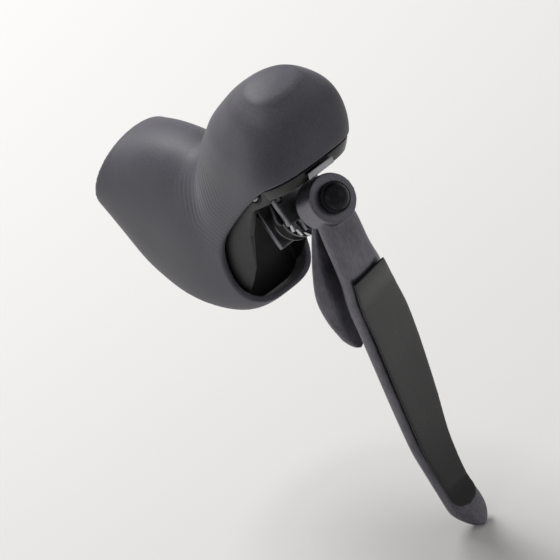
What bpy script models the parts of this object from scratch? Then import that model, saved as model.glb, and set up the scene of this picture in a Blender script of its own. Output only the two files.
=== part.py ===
"""Left-hand brake and shift lever for a drop handlebar, with hydraulic brake and cable shifting.

The origin is the centre of the handlebar's bore in the clamp. +X points to the rider's outer side,
-Y forward along the bicycle and +Z up along the lever. Sizes below are millimetres.
"""
import math

import bmesh
import bpy
from mathutils import Matrix, Vector

MM = 0.001

# Driving dimensions.
BAR_RADIUS = 12.0            # 24 mm bar where the clamp sits
TAPED_RADIUS = 15.0          # the same bar under its tape
BOLT_X = 10.0                # clamp bolt, towards the outer side
BAR_BEND_RADIUS = 35.0       # centreline radius of the bend that the hood hugs
CLAMP_FROM_LIP = Vector((0.0, 75.3, -54.8))   # clamp centre, measured from the lip's front centre
CLAMP_LEAN = math.radians(-35.0)              # bar direction at the clamp, from vertical
GAP = 0.3                    # clearance between pieces that touch
HOOD_WALL = 2.2              # rubber thickness
BODY_INSET = 2.9             # moulded body below the hood's outer surface

BRAKE_PIVOT = Vector((0.0, 19.0, -7.0))       # from the lip
SHIFT_PIVOT = Vector((0.0, -4.0, -11.0))      # front end of the shift axle, from the lip
SHIFT_LEAN = math.radians(-34.0)              # the shift axle falls towards the rear
CYLINDER_BASE = Vector((0.0, 29.0, 0.0))      # master cylinder's open end, from the lip
CYLINDER_LEAN = math.radians(22.0)            # the cylinder leans forward in the horn

BRAKE_AXLE_RADIUS = 2.5
SHIFT_AXLE_RADIUS = 2.2
BORE_RADIUS = 5.2            # master cylinder bore
SLEEVE_RADIUS = 6.6
SPOOL_RADIUS = 9.0
RATCHET_TEETH = 16

LID_SCREWS = (("lid_screw_lower", 1.4), ("lid_screw_upper", 10.0))      # and their heights
PAWLS = (("winding_pawl", 1), ("holding_pawl", -1))                    # and their sides
FACE_DEPTH = 0.9             # the blade's face plate
FACE_SHIFT = -(6.2 / 2 + FACE_DEPTH / 2 + GAP)    # just in front of the blade's deepest section
LIP_SLOPE = -0.45            # fall of the lip towards the rear

RING_POINTS = 24             # points around the hood and the body
PIN_Y = -8.0                 # clamp pin, measured along the clamp frame
PORT_X = 6.0                 # cable and hose ports, each side of the middle
PORT_Z = -24.5
SCREW_Y = 9.5                # reservoir screws, from the lip
PAWL_X = 7.2                 # pawl pins, each side of the shift axle
PAWL_T = 8.3                 # and their height above it
HORN_LEAN = 3.0              # the horn's top leans this far to the outer side
LEAN_FROM, LEAN_RISE = -4.0, 22.0             # height where the lean starts, and its rise
OUTER_FULLNESS = 2.2         # the horn's outer side is this much fuller than its inner side
FULL_FROM, FULL_RISE = -13.0, 12.0
CROWN_STEP = 5.0             # rise of the horn from one of its last stations to the next
CROWN_RINGS = ((0.62, 1.2), (0.22, 1.7))      # share of the last ring, and rise above it
BLADE_POINTS = 16

# Hood stations from the rear opening round to the horn's crown. Each gives the top or rear point
# (y, z), the bottom or front point (y, z), the half width, its slope to the top, and the squareness
# of the top half and the bottom half.
HOOD_STATIONS = [
    ((99.5, -20.5), (114.0, -54.5), 17.4, 0.0, 2.0, 2.0),
    ((86.0, -16.3), (105.5, -64.0), 17.3, 0.0, 2.1, 2.5),
    ((72.5, -14.4), (91.0, -72.0), 17.3, -0.2, 2.2, 3.6),
    ((62.0, -15.0), (68.0, -75.0), 17.4, -0.9, 2.3, 4.2),
    ((56.2, -12.6), (44.0, -69.0), 16.5, -1.0, 2.4, 3.4),
    ((52.8, -6.6), (27.0, -52.0), 16.3, -0.3, 2.5, 2.6),
    ((49.0, -0.8), (12.5, -30.0), 16.6, -0.8, 2.6, 2.6),
    ((45.0, 4.6), (2.0, -10.0), 17.2, -1.8, 2.8, 2.8),
    ((41.5, 9.6), (-2.0, 1.0), 17.6, -2.4, 2.9, 2.9),
    ((36.5, 15.0), (-0.9, 9.9), 16.6, -2.6, 2.8, 2.8),
    ((31.0, 20.2), (2.2, 17.4), 14.2, -2.0, 2.5, 2.5),
    ((24.5, 24.5), (8.0, 23.2), 9.0, -1.0, 2.3, 2.3),
]

# Blade stations down its length: height, inner edge, outer edge, middle of the depth, depth and the
# turn of its front towards the outer side in degrees.
BLADE_STATIONS = [
    (-14.0, -6.5, 6.5, -0.6, 7.0, 0.0),
    (-24.0, -6.8, 7.8, -1.7, 6.2, 2.0),
    (-34.0, -6.4, 9.0, -2.2, 6.2, 6.0),
    (-43.0, -6.0, 11.5, -1.8, 6.2, 10.0),
    (-54.0, -5.2, 14.8, 0.8, 6.2, 13.0),
    (-68.0, -3.0, 18.0, 2.6, 6.0, 14.0),
    (-84.0, -0.8, 19.3, 3.7, 5.8, 13.0),
    (-104.0, 1.6, 19.2, 3.9, 5.6, 10.0),
    (-122.0, 3.8, 18.2, 3.3, 5.6, 6.0),
    (-137.0, 6.0, 18.2, 0.6, 5.8, 1.0),
    (-147.0, 6.6, 19.4, -3.6, 6.4, 0.0),
    (-153.5, 9.0, 18.6, -7.4, 5.6, 0.0),
]

# Release paddle stations behind the blade, in the same terms.
PADDLE_STATIONS = [
    (-19.5, -4.0, 4.0, 5.3, 2.4, 0.0),
    (-31.0, -6.5, 3.0, 6.3, 2.8, -4.0),
    (-41.0, -9.4, 2.0, 6.2, 3.0, -6.0),
    (-50.0, -10.6, 1.5, 6.4, 3.2, -6.0),
    (-60.0, -8.9, 2.0, 7.0, 3.2, -2.0),
    (-70.0, -5.2, 3.5, 8.4, 3.0, 2.0),
    (-77.0, -1.5, 3.0, 9.3, 2.4, 2.0),
]


# ---------------------------------------------------------------- scene and materials

def clear_scene():
    for obj in list(bpy.data.objects):
        bpy.data.objects.remove(obj, do_unlink=True)


def new_collection(name):
    made = bpy.data.collections.new(name)
    bpy.context.scene.collection.children.link(made)
    return made


def make_material(name, colour, roughness, metallic=0.0):
    material = bpy.data.materials.new(name)
    material.use_nodes = True
    shader = material.node_tree.nodes["Principled BSDF"]
    shader.inputs["Base Color"].default_value = (*colour, 1.0)
    shader.inputs["Roughness"].default_value = roughness
    shader.inputs["Metallic"].default_value = metallic
    material.diffuse_color = (*colour, 1.0)
    return material


# ---------------------------------------------------------------- frames

def from_lip(x, y, z):
    """World point in metres of a point measured from the lip's front centre."""
    return (Vector((x, y, z)) - CLAMP_FROM_LIP) * MM


def leaning_frame(origin_from_lip, lean):
    """A frame turned about X, for pieces that lie along a slanted axis."""
    return Matrix.Translation(from_lip(*origin_from_lip)) @ Matrix.Rotation(lean, 4, "X")


LIP = Matrix.Translation(from_lip(0, 0, 0))
CLAMP = leaning_frame(CLAMP_FROM_LIP, CLAMP_LEAN)
SHIFT = leaning_frame(SHIFT_PIVOT, SHIFT_LEAN)
CYLINDER = leaning_frame(CYLINDER_BASE, CYLINDER_LEAN)
BRAKE = leaning_frame(BRAKE_PIVOT, 0.0)

TURN_TO = {
    "X": Matrix.Rotation(math.radians(90), 4, "Y"),
    "Y": Matrix.Rotation(math.radians(-90), 4, "X"),
    "Z": Matrix.Identity(4),
}


# ---------------------------------------------------------------- shapes

def add_object(name, mesh, frame, material=None, is_cutter=False):
    obj = bpy.data.objects.new(name, mesh)
    (cutters if is_cutter else parts).objects.link(obj)
    obj.matrix_world = frame
    if is_cutter:
        obj.hide_render = True
        obj.display_type = "WIRE"
    if material:
        mesh.materials.append(material)
    return obj


def mesh_from(name, bm):
    bmesh.ops.recalc_face_normals(bm, faces=bm.faces)
    mesh = bpy.data.meshes.new(name)
    bm.to_mesh(mesh)
    bm.free()
    return mesh


def block(name, low, high, frame, material=None, bevel=0.0, is_cutter=False):
    """A box between two corners, given in the frame's millimetres."""
    low, high = Vector(low), Vector(high)
    bm = bmesh.new()
    bmesh.ops.create_cube(bm, size=1.0)
    size = (high - low) * MM
    bmesh.ops.scale(bm, vec=size, verts=bm.verts)
    bmesh.ops.translate(bm, vec=(low + high) / 2 * MM, verts=bm.verts)
    obj = add_object(name, mesh_from(name, bm), frame, material, is_cutter)
    if bevel:
        add_bevel(obj, bevel)
    return obj


def rod(name, radius, start, end, axis, at, frame, material=None, sides=20, end_radius=None, is_cutter=False):
    """A cylinder or cone along X, Y or Z of the frame, from start to end, through the point at."""
    bm = bmesh.new()
    bmesh.ops.create_cone(
        bm, cap_ends=True, segments=sides, radius1=radius * MM,
        radius2=(radius if end_radius is None else end_radius) * MM, depth=(end - start) * MM)
    bmesh.ops.translate(bm, vec=(0, 0, (start + end) / 2 * MM), verts=bm.verts)
    bmesh.ops.transform(bm, matrix=TURN_TO[axis], verts=bm.verts)
    bmesh.ops.translate(bm, vec=Vector(at) * MM, verts=bm.verts)
    obj = add_object(name, mesh_from(name, bm), frame, material, is_cutter)
    smooth(obj)
    return obj


def slab(name, outline, axis, start, end, frame, material=None, is_cutter=False):
    """A flat outline extruded along X (outline in y, z), Y (x, z) or Z (x, y)."""
    corner = {"X": lambda p: (start, p[0], p[1]), "Y": lambda p: (p[0], start, p[1]),
              "Z": lambda p: (p[0], p[1], start)}[axis]
    along = {"X": (1, 0, 0), "Y": (0, 1, 0), "Z": (0, 0, 1)}[axis]
    bm = bmesh.new()
    face = bm.faces.new([bm.verts.new(Vector(corner(p)) * MM) for p in outline])
    extruded = bmesh.ops.extrude_face_region(bm, geom=[face])
    moved = [item for item in extruded["geom"] if isinstance(item, bmesh.types.BMVert)]
    bmesh.ops.translate(bm, vec=Vector(along) * (end - start) * MM, verts=moved)
    return add_object(name, mesh_from(name, bm), frame, material, is_cutter)


def turned(name, profile, axis, at, frame, material=None, steps=20, is_cutter=False):
    """A profile of (radius, height) points, outer side from the top down, spun about its axis."""
    closed = min(radius for radius, _ in profile) > 0
    bm = bmesh.new()
    verts = [bm.verts.new((radius * MM, 0, height * MM)) for radius, height in profile]
    for first, second in zip(verts, verts[1:]):
        bm.edges.new((first, second))
    if closed:
        bm.edges.new((verts[-1], verts[0]))
    mesh = bpy.data.meshes.new(name)
    bm.to_mesh(mesh)
    bm.free()
    place = frame @ Matrix.Translation(Vector(at) * MM) @ TURN_TO[axis]
    obj = add_object(name, mesh, place, material, is_cutter)
    screw = obj.modifiers.new("Spin", "SCREW")
    screw.steps = screw.render_steps = steps
    screw.use_merge_vertices = True
    screw.merge_threshold = 0.00001
    screw.use_smooth_shade = True
    return obj


def coil(name, radius, wire, turns, length, axis, at, frame, material, per_turn=9, legs=()):
    """A wire spring: a helix of the given length, with straight legs added after its last point."""
    count = int(turns * per_turn)
    points = []
    for i in range(count + 1):
        turn = 2 * math.pi * turns * i / count
        points.append(Vector((radius * math.cos(turn), radius * math.sin(turn), length * i / count)))
    points += [Vector(leg) for leg in legs]
    curve = bpy.data.curves.new(name, "CURVE")
    curve.dimensions = "3D"
    spline = curve.splines.new("POLY")
    spline.points.add(len(points) - 1)
    for point, place in zip(spline.points, points):
        point.co = (*(place * MM), 1.0)
    curve.bevel_depth = wire / 2 * MM
    curve.bevel_resolution = 2
    curve.use_fill_caps = True
    obj = bpy.data.objects.new(name, curve)
    parts.objects.link(obj)
    obj.matrix_world = frame @ Matrix.Translation(Vector(at) * MM) @ TURN_TO[axis]
    curve.materials.append(material)
    return obj


def add_bevel(obj, width, segments=2, angle=35):
    bevel = obj.modifiers.new("Bevel", "BEVEL")
    bevel.width = width * MM
    bevel.segments = segments
    bevel.limit_method = "ANGLE"
    bevel.angle_limit = math.radians(angle)


def boolean(obj, other, operation):
    modifier = obj.modifiers.new(operation.title(), "BOOLEAN")
    modifier.operation = operation
    modifier.solver = "EXACT"
    modifier.object = other


def cut(obj, *tools):
    for tool in tools:
        boolean(obj, tool, "DIFFERENCE")


def join(obj, *tools):
    for tool in tools:
        boolean(obj, tool, "UNION")


def smooth(obj, angle=40):
    obj.data.shade_smooth()
    obj.data.set_sharp_from_angle(angle=math.radians(angle))


def hang(obj, empty):
    """Parents a piece to an empty on its joint axis, leaving it where it is."""
    world = obj.matrix_world.copy()
    obj.parent = empty
    obj.matrix_parent_inverse = empty.matrix_world.inverted()
    obj.matrix_world = world


def pivot(name, frame):
    empty = bpy.data.objects.new(name, None)
    empty.empty_display_size = 0.01
    parts.objects.link(empty)
    empty.matrix_world = frame
    return empty


# ---------------------------------------------------------------- lofts

def spline_at(rows, t):
    """Catmull-Rom value of rows of numbers at t, which runs from 0 to the last row."""
    last = len(rows) - 1
    i = min(int(t), last - 1)
    u = t - i
    before, start, end, after = (rows[max(i - 1, 0)], rows[i], rows[i + 1], rows[min(i + 2, last)])
    out = []
    for a, b, c, d in zip(before, start, end, after):
        out.append(0.5 * (2 * b + (c - a) * u + (2 * a - 5 * b + 4 * c - d) * u ** 2
                          + (3 * b - a - 3 * c + d) * u ** 3))
    return out


def superellipse(power, count, low_power=None):
    """Unit rounded-square points: (cosine-like, sine-like) pairs, the lower half with its own power."""
    points = []
    for i in range(count):
        angle = 2 * math.pi * i / count
        c, s = math.cos(angle), math.sin(angle)
        share = 2 / (low_power if low_power and c < 0 else power)
        points.append((math.copysign(abs(c) ** share, c), math.copysign(abs(s) ** share, s)))
    return points


def loft(name, rings, frame, material=None, is_cutter=False):
    """Skins closed rings of points and caps both ends."""
    bm = bmesh.new()
    loops = [[bm.verts.new(Vector(point) * MM) for point in ring] for ring in rings]
    for lower, upper in zip(loops, loops[1:]):
        count = len(lower)
        for i in range(count):
            j = (i + 1) % count
            bm.faces.new((lower[i], lower[j], upper[j], upper[i]))
    bm.faces.new(loops[0])
    bm.faces.new(loops[-1])
    bmesh.ops.triangulate(bm, faces=bm.faces)     # flat faces keep the Booleans exact
    obj = add_object(name, mesh_from(name, bm), frame, material, is_cutter)
    smooth(obj, 50)
    return obj


def ease(share):
    share = min(max(share, 0.0), 1.0)
    return share * share * (3 - 2 * share)


def horn_shift(across, height):
    """Sideways shift of a point of the horn: all of it leans out, and its outer side is fuller."""
    lean = HORN_LEAN * ease((height - LEAN_FROM) / LEAN_RISE)
    return lean + OUTER_FULLNESS * max(across, 0.0) * ease((height - FULL_FROM) / FULL_RISE)


def hood_rings(inset, count, first=0.0):
    """Rings of the lever body's outer skin, moved inwards by inset, closed over the crown."""
    rows = [(*top, *bottom, *rest) for top, bottom, *rest in HOOD_STATIONS]
    last = len(rows) - 1 - inset / CROWN_STEP
    rings = []
    for step in range(count):
        t = first + (last - first) * step / (count - 1)
        top_y, top_z, low_y, low_z, width, slope, power, low_power = spline_at(rows, t)
        middle = Vector(((top_y + low_y) / 2, (top_z + low_z) / 2))
        half = Vector(((top_y - low_y) / 2, (top_z - low_z) / 2))
        half -= half.normalized() * inset
        ring = []
        for a, b in superellipse(power, RING_POINTS, low_power):
            height = middle.y + half.y * a
            ring.append(Vector((b * (width + slope * a - inset) + horn_shift(b, height),
                                middle.x + half.x * a, height)))
        rings.append(ring)
    centre = sum(rings[-1], Vector()) / RING_POINTS
    for shrink, rise in CROWN_RINGS:
        lift = Vector((0, 0, rise))
        rings.append([centre + (point - centre) * shrink + lift for point in rings[count - 1]])
    return rings


def lever_rings(stations, count, top, bottom, inset=0.0, shift=0.0, depth=None, power=3.0):
    """Rings of a blade-like piece between two heights; shift moves them towards the rear."""
    heights = [row[0] for row in stations]
    rings = []
    for step in range(count):
        height = top + (bottom - top) * step / (count - 1)
        i = max(k for k in range(len(heights) - 1) if heights[k] >= height or k == 0)
        t = i + (height - heights[i]) / (heights[i + 1] - heights[i])
        _, inner, outer, middle, own_depth, turn = spline_at(stations, min(max(t, 0), len(stations) - 1))
        spin = Matrix.Rotation(math.radians(turn), 2)
        centre = Vector(((inner + outer) / 2, middle)) + spin @ Vector((0, shift))
        half = (outer - inner) / 2 - inset
        thickness = own_depth if depth is None else depth
        ring = []
        for a, b in superellipse(power, BLADE_POINTS):
            point = centre + spin @ Vector((a * half, b * thickness / 2))
            ring.append((point.x, point.y, height))
        rings.append(ring)
    return rings


# ---------------------------------------------------------------- handlebar and mouth outlines

def bar_path():
    """The bar's centreline from the lip: down the ramp, round the bend, then straight down."""
    start_angle, end_angle = math.radians(113), math.radians(180)
    centre = Vector((69.0 + BAR_BEND_RADIUS, -74.9))
    arc = []
    for step in range(11):
        angle = start_angle + (end_angle - start_angle) * step / 10
        arc.append(Vector((0, centre.x + BAR_BEND_RADIUS * math.cos(angle),
                           centre.y + BAR_BEND_RADIUS * math.sin(angle))))
    ramp = Vector((0, math.sin(start_angle), -math.cos(start_angle)))
    return [arc[0] + ramp * 60] + arc + [arc[-1] + Vector((0, 0, -50))]


def bar_cutter(name, radius):
    """The bar as a closed mesh that other pieces are cut with."""
    curve = bpy.data.curves.new(name, "CURVE")
    curve.dimensions = "3D"
    spline = curve.splines.new("POLY")
    path = bar_path()
    spline.points.add(len(path) - 1)
    for point, place in zip(spline.points, path):
        point.co = (*(place * MM), 1.0)
    curve.bevel_depth = radius * MM
    curve.bevel_resolution = 6
    curve.use_fill_caps = True
    guide = bpy.data.objects.new(name + "_guide", curve)
    cutters.objects.link(guide)
    guide.matrix_world = LIP
    bpy.context.view_layer.update()
    evaluated = guide.evaluated_get(bpy.context.evaluated_depsgraph_get())
    mesh = bpy.data.meshes.new_from_object(evaluated)
    bm = bmesh.new()
    bm.from_mesh(mesh)
    bmesh.ops.remove_doubles(bm, verts=bm.verts, dist=0.00001)
    bmesh.ops.recalc_face_normals(bm, faces=bm.faces)
    bm.to_mesh(mesh)
    bm.free()
    tube = add_object(name, mesh, guide.matrix_world.copy(), is_cutter=True)
    bpy.data.objects.remove(guide)
    return tube


def lip_line(y, drop):
    return (y, 2.0 - drop + LIP_SLOPE * y)


HOOD_MOUTH = [lip_line(-20, 0), (-20, -95), (30, -95), (30, -75), (37, -64), (42, -59), (45, -52),
              (45.5, -43), (42, -35), (33, -25), (21.5, -13.5), lip_line(8, 0)]
BODY_MOUTH = [lip_line(-20, 4.8), (-20, -95), (36, -95), (36, -62), (34, -46), (29, -30),
              (22, -17), (13, -11.5), lip_line(9, 4.8)]
CAVITY = [(-20, -6.5), (-20, -95), (44, -95), (46, -66), (49, -50), (49, -22), (41, -9), (34, -1.2),
          (12, -1.2), (8, -6.2)]
BEHIND_BAR = [(75, -54), (81, -48.5), (90, -43), (150, -18), (150, -110), (69, -110), (69, -76)]


# ---------------------------------------------------------------- body, hood and clamp

def make_body():
    body = loft("bracket_body", hood_rings(BODY_INSET, 14), LIP, nylon)
    cut(body,
        bar_cutter("bar_bare", BAR_RADIUS + GAP),
        slab("behind_bar", BEHIND_BAR, "X", -25, 25, LIP, is_cutter=True),
        block("rear_face", (-25, 84, -60), (25, 130, 10), LIP, is_cutter=True),
        block("foot_face", (-25, 20, -95), (25, 100, -68.2), LIP, is_cutter=True),
        slab("body_mouth", BODY_MOUTH, "X", -25, 25, LIP, is_cutter=True),
        slab("cavity", CAVITY, "X", -11.3, 11.3, LIP, is_cutter=True),
        rod("cylinder_hole", SLEEVE_RADIUS + GAP, -10, 17.9, "Z", (0, 0, 0), CYLINDER, is_cutter=True),
        rod("bleed_hole", 1.5, 17, 30, "Z", (0, 0, 0), CYLINDER, sides=12, is_cutter=True),
        rod("bleed_seat", 2.9, 19.8, 32, "Z", (0, 0, 0), CYLINDER, sides=16, is_cutter=True),
        block("lid_recess", (-23, 5.2, -0.4), (-8.9, 15.4, 11.8), LIP, is_cutter=True),
        block("reservoir_pocket", (-22, 6.2, 2.7), (9.5, 14.2, 8.9), LIP, is_cutter=True),
        rod("timing_port", 0.9, 12, 20, "Y", (0, 0, 7), LIP, sides=12, is_cutter=True),
        rod("axle_hole", BRAKE_AXLE_RADIUS + GAP, -30, 30, "X", (0, 0, 0), BRAKE, is_cutter=True),
        rod("clip_seat_inner", 5.0, -25, -13.4, "X", (0, 0, 0), BRAKE, is_cutter=True),
        rod("clip_seat_outer", 5.0, 13.4, 25, "X", (0, 0, 0), BRAKE, is_cutter=True))
    for side in (-1, 1):
        low, high = sorted((side * 12.0, side * 25.0))
        cut(body, block(f"band_recess_{side}", (low, -12.3, -6), (high, 25, 6), CLAMP, is_cutter=True))
        cut(body, rod(f"port_{side}", 3.2, 75, 90, "Y", (side * PORT_X, 0, PORT_Z), LIP, is_cutter=True))
    cut(body,
        block("lug_recess", (7.9, -17.3, -6), (25, 0, 6), CLAMP, is_cutter=True),
        rod("bolt_hole", 1.6, -40, -10, "Y", (BOLT_X, 0, 0), CLAMP, is_cutter=True),
        rod("bolt_head_seat", 3.7, -45, -26.7, "Y", (BOLT_X, 0, 0), CLAMP, is_cutter=True),
        rod("pin_hole", 1.8, -30, -5.5, "X", (0, PIN_Y, 0), CLAMP, sides=16, is_cutter=True))
    for name, height in LID_SCREWS:
        cut(body, rod(f"{name}_thread", 0.9, -20, -5, "X", (0, SCREW_Y, height), LIP, sides=12,
                      is_cutter=True))
    return body


def make_hood():
    hood = loft("hood_cover", hood_rings(0.0, 20), LIP, rubber)
    cut(hood,
        loft("hood_hollow", hood_rings(HOOD_WALL, 17, first=0.15), LIP, is_cutter=True),
        bar_cutter("bar_taped", TAPED_RADIUS + GAP),
        slab("hood_mouth", HOOD_MOUTH, "X", -25, 25, LIP, is_cutter=True),
        block("hood_foot", (-25, 20, -95), (25, 100, -69.5), LIP, is_cutter=True))
    smooth(hood, 50)
    return hood


def make_lip():
    cover = loft("lip_cover", hood_rings(0.5, 17), LIP, gloss_plastic)
    band = [lip_line(-20, 0.4), lip_line(-20, 4.6), lip_line(7.8, 4.6), lip_line(7.8, 0.4)]
    boolean(cover, slab("lip_band", band, "X", -25, 25, LIP, is_cutter=True), "INTERSECT")
    cut(cover, loft("lip_hollow", hood_rings(BODY_INSET - GAP, 17), LIP, is_cutter=True))
    block("lip_badge", (-5.2, -2.75, -0.9), (5.2, -2.15, 1.5), LIP, steel, bevel=0.15)


def band_outline(inner, outer, reach):
    """A U around the bar: half a ring behind it and two straight legs forward."""
    outline = [(-outer, -reach)]
    for step in range(19):
        angle = math.pi - math.pi * step / 18
        outline.append((outer * math.cos(angle), outer * math.sin(angle)))
    outline += [(outer, -reach), (inner, -reach)]
    for step in range(19):
        angle = math.pi * step / 18
        outline.append((inner * math.cos(angle), inner * math.sin(angle)))
    outline.append((-inner, -reach))
    return outline


def make_clamp():
    band = slab("clamp_band", band_outline(BAR_RADIUS + GAP, BAR_RADIUS + 1.7, 12.0), "Z", -5.5, 5.5,
                CLAMP, steel)
    join(band, block("band_lug", (8.3, -17, -5.5), (13.7, -11.9, 5.5), CLAMP, is_cutter=True))
    cut(band,
        rod("lug_hole", 1.5, -20, -9, "Y", (BOLT_X, 0, 0), CLAMP, is_cutter=True),
        rod("band_pin_hole", 1.8, -20, -9, "X", (0, PIN_Y, 0), CLAMP, sides=16, is_cutter=True))
    rod("clamp_pin", 1.5, -14.0, -6.0, "X", (0, PIN_Y, 0), CLAMP, steel, sides=16)
    bolt = rod("clamp_bolt", 1.2, -27.2, -9.4, "Y", (BOLT_X, 0, 0), CLAMP, steel)
    join(bolt, rod("clamp_bolt_head", 3.3, -30.6, -27.0, "Y", (BOLT_X, 0, 0), CLAMP, is_cutter=True))
    cut(bolt, rod("clamp_bolt_socket", 1.8, -33, -28.8, "Y", (BOLT_X, 0, 0), CLAMP, sides=6, is_cutter=True))
    nut = block("clamp_nut", (8.0, -11.5, -3.2), (12.0, -9.4, 3.2), CLAMP, steel)
    cut(nut, rod("clamp_nut_thread", 1.5, -15, -5, "Y", (BOLT_X, 0, 0), CLAMP, is_cutter=True))


# ---------------------------------------------------------------- hydraulics

def make_cylinder():
    turned("cylinder_sleeve", [(SLEEVE_RADIUS, 17.5), (SLEEVE_RADIUS, -1.5), (BORE_RADIUS, -1.5),
                               (BORE_RADIUS, 17.5)], "Z", (0, 0, 0), CYLINDER, steel)
    bleed = turned("bleed_screw", [(0, 21.8), (2.2, 21.8), (2.6, 21.3), (2.6, 20.1), (1.2, 20.1),
                                   (1.2, 18.3), (0, 18.3)], "Z", (0, 0, 0), CYLINDER, steel)
    cut(bleed, rod("bleed_socket", 1.1, 20.9, 26, "Z", (0, 0, 0), CYLINDER, sides=6, is_cutter=True))


def make_reservoir():
    lid = block("reservoir_lid", (-10.4, 5.6, 0.0), (-9.2, 15.0, 11.4), LIP, nylon, bevel=0.3)
    cup = block("reservoir_diaphragm", (-8.8, 6.6, 3.1), (9.0, 13.8, 8.5), LIP, rubber)
    cut(cup, block("diaphragm_hollow", (-20, 7.5, 4.0), (8.1, 12.9, 7.6), LIP, is_cutter=True))
    for name, height in LID_SCREWS:
        cut(lid, rod(name + "_hole", 0.95, -20, -8, "X", (0, SCREW_Y, height), LIP, sides=12,
                     is_cutter=True))
        screw = rod(name, 0.65, -10.8, -6.0, "X", (0, SCREW_Y, height), LIP, steel, sides=12)
        join(screw, rod(name + "_head", 1.4, -11.4, -10.7, "X", (0, SCREW_Y, height), LIP, sides=16,
                        is_cutter=True))


def make_piston():
    seals = (7.5, 3.5)
    profile = [(0, 9.6), (4.9, 9.6)]
    for middle in seals:
        profile += [(4.9, middle + 0.9), (3.6, middle + 0.9), (3.6, middle - 0.9), (4.9, middle - 0.9)]
    profile += [(4.9, 1.5), (0, 1.5)]
    pieces = [turned("piston", profile, "Z", (0, 0, 0), CYLINDER, aluminium)]
    for name, middle in zip(("primary_seal", "secondary_seal"), seals):
        pieces.append(turned(name, [(4.9, middle + 0.6), (4.9, middle - 0.6), (3.9, middle - 0.6),
                                    (3.9, middle + 0.6)], "Z", (0, 0, 0), CYLINDER, rubber))
    pieces.append(coil("piston_spring", 3.4, 0.7, 3, 6.4, "Z", (0, 0, 10.5), CYLINDER, steel))
    rod_profile = [(0, 1.2), (0.9, 1.0), (1.6, 0.3), (1.6, -4.4), (2.6, -5.0), (2.6, -6.1), (0, -6.1)]
    pieces.append(turned("push_rod", rod_profile, "Z", (0, 0, 0), CYLINDER, steel))
    slide = pivot("piston_axis", CYLINDER)
    for piece in pieces:
        hang(piece, slide)


def make_ports():
    hose_nut = rod("hose_nut", 2.9, 76, 84.6, "Y", (PORT_X, 0, PORT_Z), LIP, steel)
    join(hose_nut, rod("hose_nut_hex", 3.5, 84.4, 86.8, "Y", (PORT_X, 0, PORT_Z), LIP, sides=6, is_cutter=True))
    cut(hose_nut, rod("hose_passage", 1.6, 70, 95, "Y", (PORT_X, 0, PORT_Z), LIP, sides=16, is_cutter=True))
    turned("cable_stop", [(2.9, 6.0), (2.9, -5.0), (1.0, -5.0), (1.0, 0.0), (2.3, 0.0), (2.3, 6.0)],
           "Y", (-PORT_X, 81.0, PORT_Z), LIP, nylon)


# ---------------------------------------------------------------- brake pivot and yoke

def make_brake_axle():
    rod("brake_axle", BRAKE_AXLE_RADIUS, -14.5, 14.5, "X", (0, 0, 0), BRAKE, steel)
    for name, start in (("axle_clip_inner", -14.6), ("axle_clip_outer", 13.8)):
        clip = rod(name, 3.9, start, start + 0.8, "X", (0, 0, 0), BRAKE, steel)
        cut(clip,
            rod(name + "_hole", BRAKE_AXLE_RADIUS + GAP, start - 2, start + 2, "X", (0, 0, 0), BRAKE,
                is_cutter=True),
            block(name + "_gap", (start - 2, -6, -1.2), (start + 2, 0, 1.2), BRAKE, is_cutter=True))
    washer = rod("pivot_washer", 4.6, 9.6, 10.9, "X", (0, 0, 0), BRAKE, nylon)
    cut(washer, rod("washer_hole", BRAKE_AXLE_RADIUS + GAP, 8, 12, "X", (0, 0, 0), BRAKE, is_cutter=True))


def make_yoke():
    """Cast yoke: it turns on the brake axle and carries the shift axle and its mechanism."""
    yoke = rod("lever_yoke", 5.2, -6.4, 9.2, "X", (0, 0, 0), BRAKE, aluminium)
    join(yoke,
         block("yoke_front", (-9, 18, -0.6), (9, 20.6, 10.0), SHIFT, is_cutter=True),
         block("yoke_front_foot", (-4.8, 18.1, -4.8), (4.8, 20.5, 0.5), SHIFT, is_cutter=True),
         block("yoke_neck", (-6.2, 18.1, 9.0), (6.2, 20.5, 12.9), SHIFT, is_cutter=True),
         block("yoke_bridge", (-4.8, 18.2, 10.4), (4.8, 37.8, 12.8), SHIFT, is_cutter=True),
         block("yoke_rear", (-7.5, 35.6, -6.5), (7.5, 38, 12.6), SHIFT, is_cutter=True),
         block("yoke_arm", (-3, 2, -3.9), (3, 12.9, -0.6), BRAKE, is_cutter=True),
         rod("yoke_tip", 2.4, -3, 3, "X", (0, 12.9, -1.3), BRAKE, is_cutter=True))
    cut(yoke,
        rod("yoke_axle_hole", BRAKE_AXLE_RADIUS + GAP, -30, 30, "X", (0, 0, 0), BRAKE, is_cutter=True),
        rod("yoke_shift_hole", SHIFT_AXLE_RADIUS + GAP, 10, 50, "Y", (0, 0, 0), SHIFT, is_cutter=True))
    pieces = [yoke]
    for name, side in PAWLS:
        cut(yoke, rod(name + "_pin_hole", 1.2, 15, 25, "Y", (side * PAWL_X, 0, PAWL_T), SHIFT, sides=12,
                      is_cutter=True))
        pieces.append(rod(name + "_pin", 0.9, 18.2, 23.8, "Y", (side * PAWL_X, 0, PAWL_T), SHIFT, steel,
                          sides=12))
    pieces.append(make_shift_axle())
    nut = rod("shift_axle_nut", 4.2, 38.4, 40.6, "Y", (0, 0, 0), SHIFT, steel, sides=6)
    cut(nut, rod("shift_nut_hole", SHIFT_AXLE_RADIUS + GAP, 37, 42, "Y", (0, 0, 0), SHIFT, is_cutter=True))
    pieces.append(nut)
    spring = coil("lever_return_spring", 4.4, 0.9, 2.5, 2.9, "X", (-10.5, 0, 0), BRAKE, steel)
    hinge = pivot("brake_hinge", BRAKE)
    for piece in pieces + [spring]:
        hang(piece, hinge)


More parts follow.
